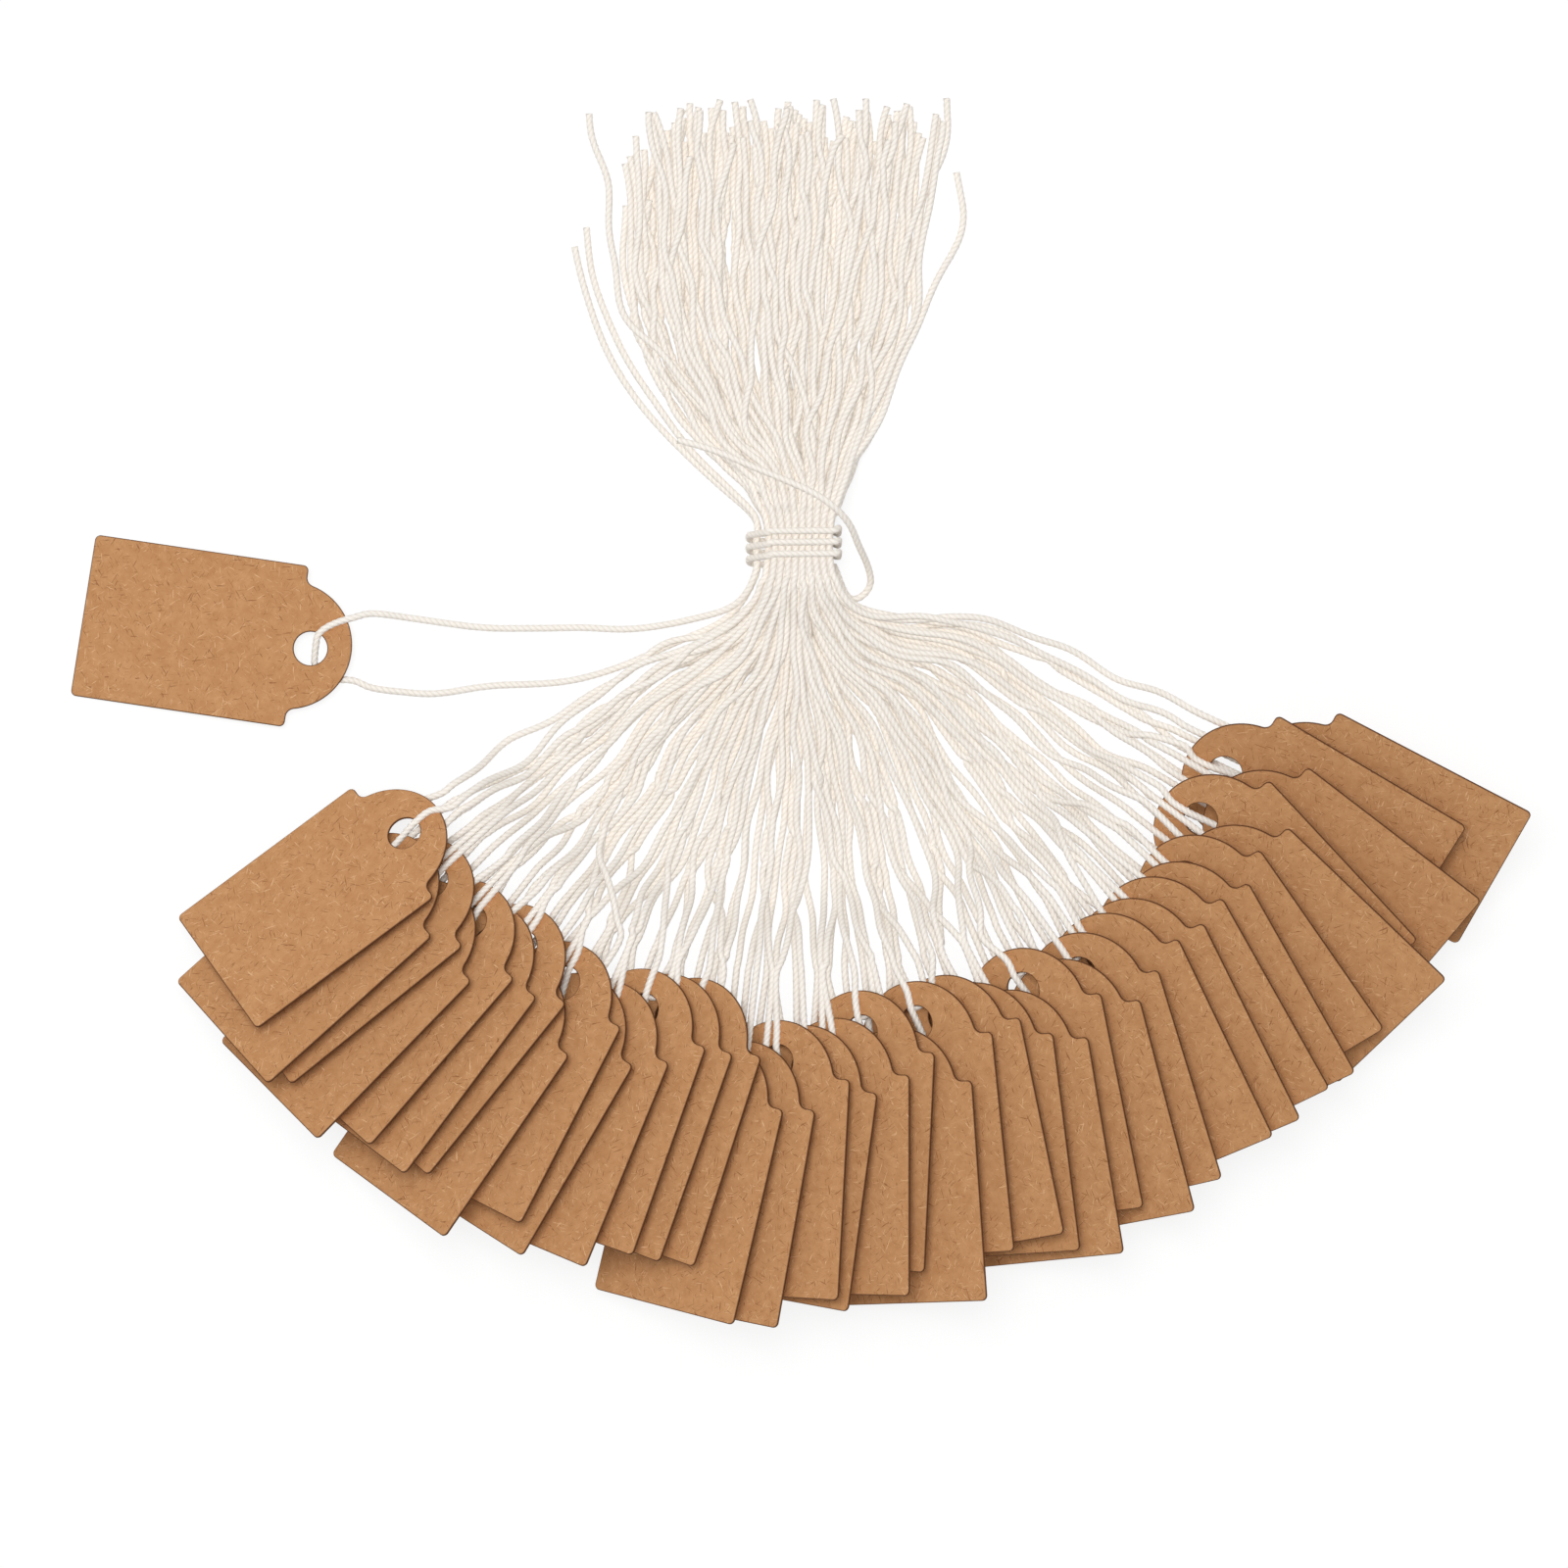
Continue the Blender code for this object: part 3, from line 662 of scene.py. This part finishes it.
def settle(lines, looses):
    """Lays the strings on each other: those that overlap part, and loose ones sink until they rest."""
    places = np.vstack(lines)
    owner = np.repeat(np.arange(len(lines)), [len(line) for line in lines])
    loose = np.concatenate(looses)
    same = owner[1:] == owner[:-1]
    rest = np.linalg.norm(np.diff(places, axis=0), axis=1)
    inner = np.concatenate([[False], same[1:] & same[:-1], [False]])
    for step in range(SIM_STEPS):
        if step % SIM_REFRESH == 0:
            first, second = near_pairs(places, owner)
        places[:, 2] -= SIM_SINK * loose
        middle = (np.roll(places, 1, axis=0) + np.roll(places, -1, axis=0)) / 2
        places += (middle - places) * (SIM_SMOOTH * loose * inner)[:, None]
        span = np.diff(places, axis=0)
        long = np.linalg.norm(span, axis=1)
        pull = span * (np.where(same, (long - rest) / np.maximum(long, LEAST_LENGTH), 0) / 2)[:, None]
        places[:-1] += pull * loose[:-1, None]
        places[1:] -= pull * loose[1:, None]
        gap = places[second] - places[first]
        apart = np.maximum(np.linalg.norm(gap, axis=1), LEAST_LENGTH)
        push = gap * (np.maximum(STRING_DIAMETER - apart, 0) / apart)[:, None]
        share = loose[first] / np.maximum(loose[first] + loose[second], LEAST_LOOSE)
        move = np.zeros_like(places)
        np.add.at(move, first, -push * share[:, None])
        np.add.at(move, second, push * (1 - share)[:, None] * (loose[second] > 0)[:, None])
        places += move * SIM_PART
        places[:, 2] = np.maximum(places[:, 2], STRAND_FLOOR)
    return np.split(places, np.cumsum([len(line) for line in lines])[:-1])


def ring_frames(line):
    """Two directions across the line at each point, carried along without twisting."""
    run = np.gradient(line, axis=0)
    run /= np.linalg.norm(run, axis=1)[:, None]
    side = np.cross(run[0], (0.0, 0.0, 1.0))
    sides = []
    for direction in run:
        side = side - direction * side.dot(direction)
        side = side / np.linalg.norm(side)
        sides.append(side)
    sides = np.array(sides)
    return sides, np.cross(run, sides)


def string_mesh(name, line, material):
    """A three-ply twisted string along a line, with slightly flared cut ends."""
    sides, ups = ring_frames(line)
    along = np.concatenate([[0.0], np.cumsum(np.linalg.norm(np.diff(line, axis=0), axis=1))])
    flare = np.ones(len(line))
    flare[[0, -1]] = CUT_FLARE
    count = SECTION_CORNERS
    places = np.zeros((len(line), count, 3))
    groove = np.zeros((len(line), count))
    for corner in range(count):
        angle = math.tau * corner / count
        crest = (1 + math.cos(PLIES * angle)) / 2
        # How deep in a groove each corner lies, which the material paints darker as shade
        groove[:, corner] = (1 - crest) ** 2
        radius = (WAIST_DIAMETER + (CREST_DIAMETER - WAIST_DIAMETER) * crest) / 2 * flare
        turned = angle + math.tau * along / PLY_PITCH
        offset = sides * np.cos(turned)[:, None] + ups * np.sin(turned)[:, None]
        places[:, corner] = line + offset * radius[:, None]
    faces = [list(range(count))[::-1]]
    for ring in range(len(line) - 1):
        for corner in range(count):
            after = (corner + 1) % count
            start = ring * count
            faces.append((start + corner, start + after, start + count + after, start + count + corner))
    faces.append(list(range((len(line) - 1) * count, len(line) * count)))
    mesh = bpy.data.meshes.new(name)
    mesh.from_pydata(places.reshape(-1, 3), [], faces)
    mesh.shade_smooth()
    mesh.attributes.new("groove", "FLOAT", "POINT").data.foreach_set("value", groove.ravel())
    mesh.materials.append(material)
    return mesh


def add_object(name, data, matrix=Matrix()):
    """An object in the scene, with its data and its place."""
    item = bpy.data.objects.new(name, data)
    bpy.context.scene.collection.objects.link(item)
    item.matrix_world = matrix
    return item


def add_card(tag, mesh):
    """A tag's card, on the tag's body."""
    card = add_object(tag + "_card", mesh, card_matrix(tag))
    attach(card, tag)
    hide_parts(tag)


def add_string(name, line, node, material):
    """A string in the frame, and its line there."""
    spacing = PLY_PITCH / RINGS_PER_PITCH
    route = smooth_line(line, spacing) + np.array(NECK)
    string = add_object(name, string_mesh(name, route, material))
    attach(string, "strings")
    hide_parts(node)
    return string, route


def add_strings(material):
    """All the strings and the thread: laid out, waved, settled and made."""
    layout = random.Random(LAYOUT_SEED)
    strings = []
    for index, route in enumerate(fan_routes(layout)):
        strings.append((f"tag_{index + 1:02d}_string", f"string_pair_{index // 2 + 1:02d}", route, WAVE_SIZE))
    for index, route in enumerate(filler_routes(layout)):
        strings.append((f"pair_{index + 1:02d}_filler", f"string_pair_{index + 1:02d}", route, WAVE_SIZE))
    strings.append(("drawn_tag_string", "drawn_string", drawn_route(), CALM_WAVE))
    strings.append(("neck_thread", "binding_thread", binding_route(), CALM_WAVE))
    lines = []
    looses = []
    for _, _, route, size in strings:
        line = smooth_line(route, SIM_SPACING)
        loose = looseness(line)
        lines.append(wave(line, loose, size, layout))
        looses.append(loose)
    lines = settle(lines, looses)
    for (name, node, _, _), line in zip(strings, lines):
        string, route = add_string(name, line, node, material)


def add_cards(material):
    """The cards, which share one mesh."""
    mesh = card_mesh(material)
    for tag in JOINTS:
        add_card(tag, mesh)


def add_floor():
    """A white table whose shadows show only faintly."""
    material, tree = new_material("table_white")
    camera = add_node(tree, "ShaderNodeLightPath").outputs["Is Camera Ray"]
    share = add_node(tree, "ShaderNodeMath", {0: camera, 1: GLOW_SHARE}, operation="MULTIPLY").outputs[0]
    matt = add_node(tree, "ShaderNodeBsdfDiffuse", {"Color": TABLE_COLOUR})
    glow = add_node(tree, "ShaderNodeEmission", {"Color": WHITE, "Strength": TABLE_GLOW})
    both = add_node(tree, "ShaderNodeMixShader", {0: share, 1: matt.outputs[0], 2: glow.outputs[0]})
    add_node(tree, "ShaderNodeOutputMaterial", {"Surface": both.outputs[0]})
    bpy.ops.mesh.primitive_plane_add(size=TABLE_SIZE)
    floor = bpy.context.object
    floor.name = "table"
    floor.data.materials.append(material)


def add_light():
    """An evenly lit room and one broad soft lamp."""
    world = bpy.data.worlds.new("soft_room")
    bpy.context.scene.world = world
    world.use_nodes = True
    background = world.node_tree.nodes["Background"]
    background.inputs["Color"].default_value = WHITE
    background.inputs["Strength"].default_value = ROOM_STRENGTH
    light = bpy.data.lights.new("window", "AREA")
    light.size = WINDOW_SIZE
    light.energy = WINDOW_POWER
    lamp = add_object("window", light, Matrix.Translation(WINDOW_PLACE))
    lamp.rotation_euler = (-lamp.location).to_track_quat("-Z", "Y").to_euler()


def add_camera():
    """The photograph's camera."""
    target = NECK + Vector((*VIEW_MIDDLE, 0.0))
    elevation = math.radians(VIEW_ELEVATION)
    data = bpy.data.cameras.new("photograph")
    data.sensor_width = SENSOR_WIDTH
    data.lens = SENSOR_WIDTH * VIEW_DISTANCE / VIEW_WIDTH
    data.clip_start = CLIP_START
    away = Vector((0, -math.cos(elevation), math.sin(elevation)))
    camera = add_object("photograph", data)
    camera.location = target + away * VIEW_DISTANCE
    camera.rotation_euler = (math.pi / 2 - elevation, 0, 0)
    bpy.context.scene.camera = camera


bpy.context.scene.view_settings.view_transform = "Standard"
add_cards(kraft_material())
add_strings(cotton_material())
add_floor()
add_light()
add_camera()
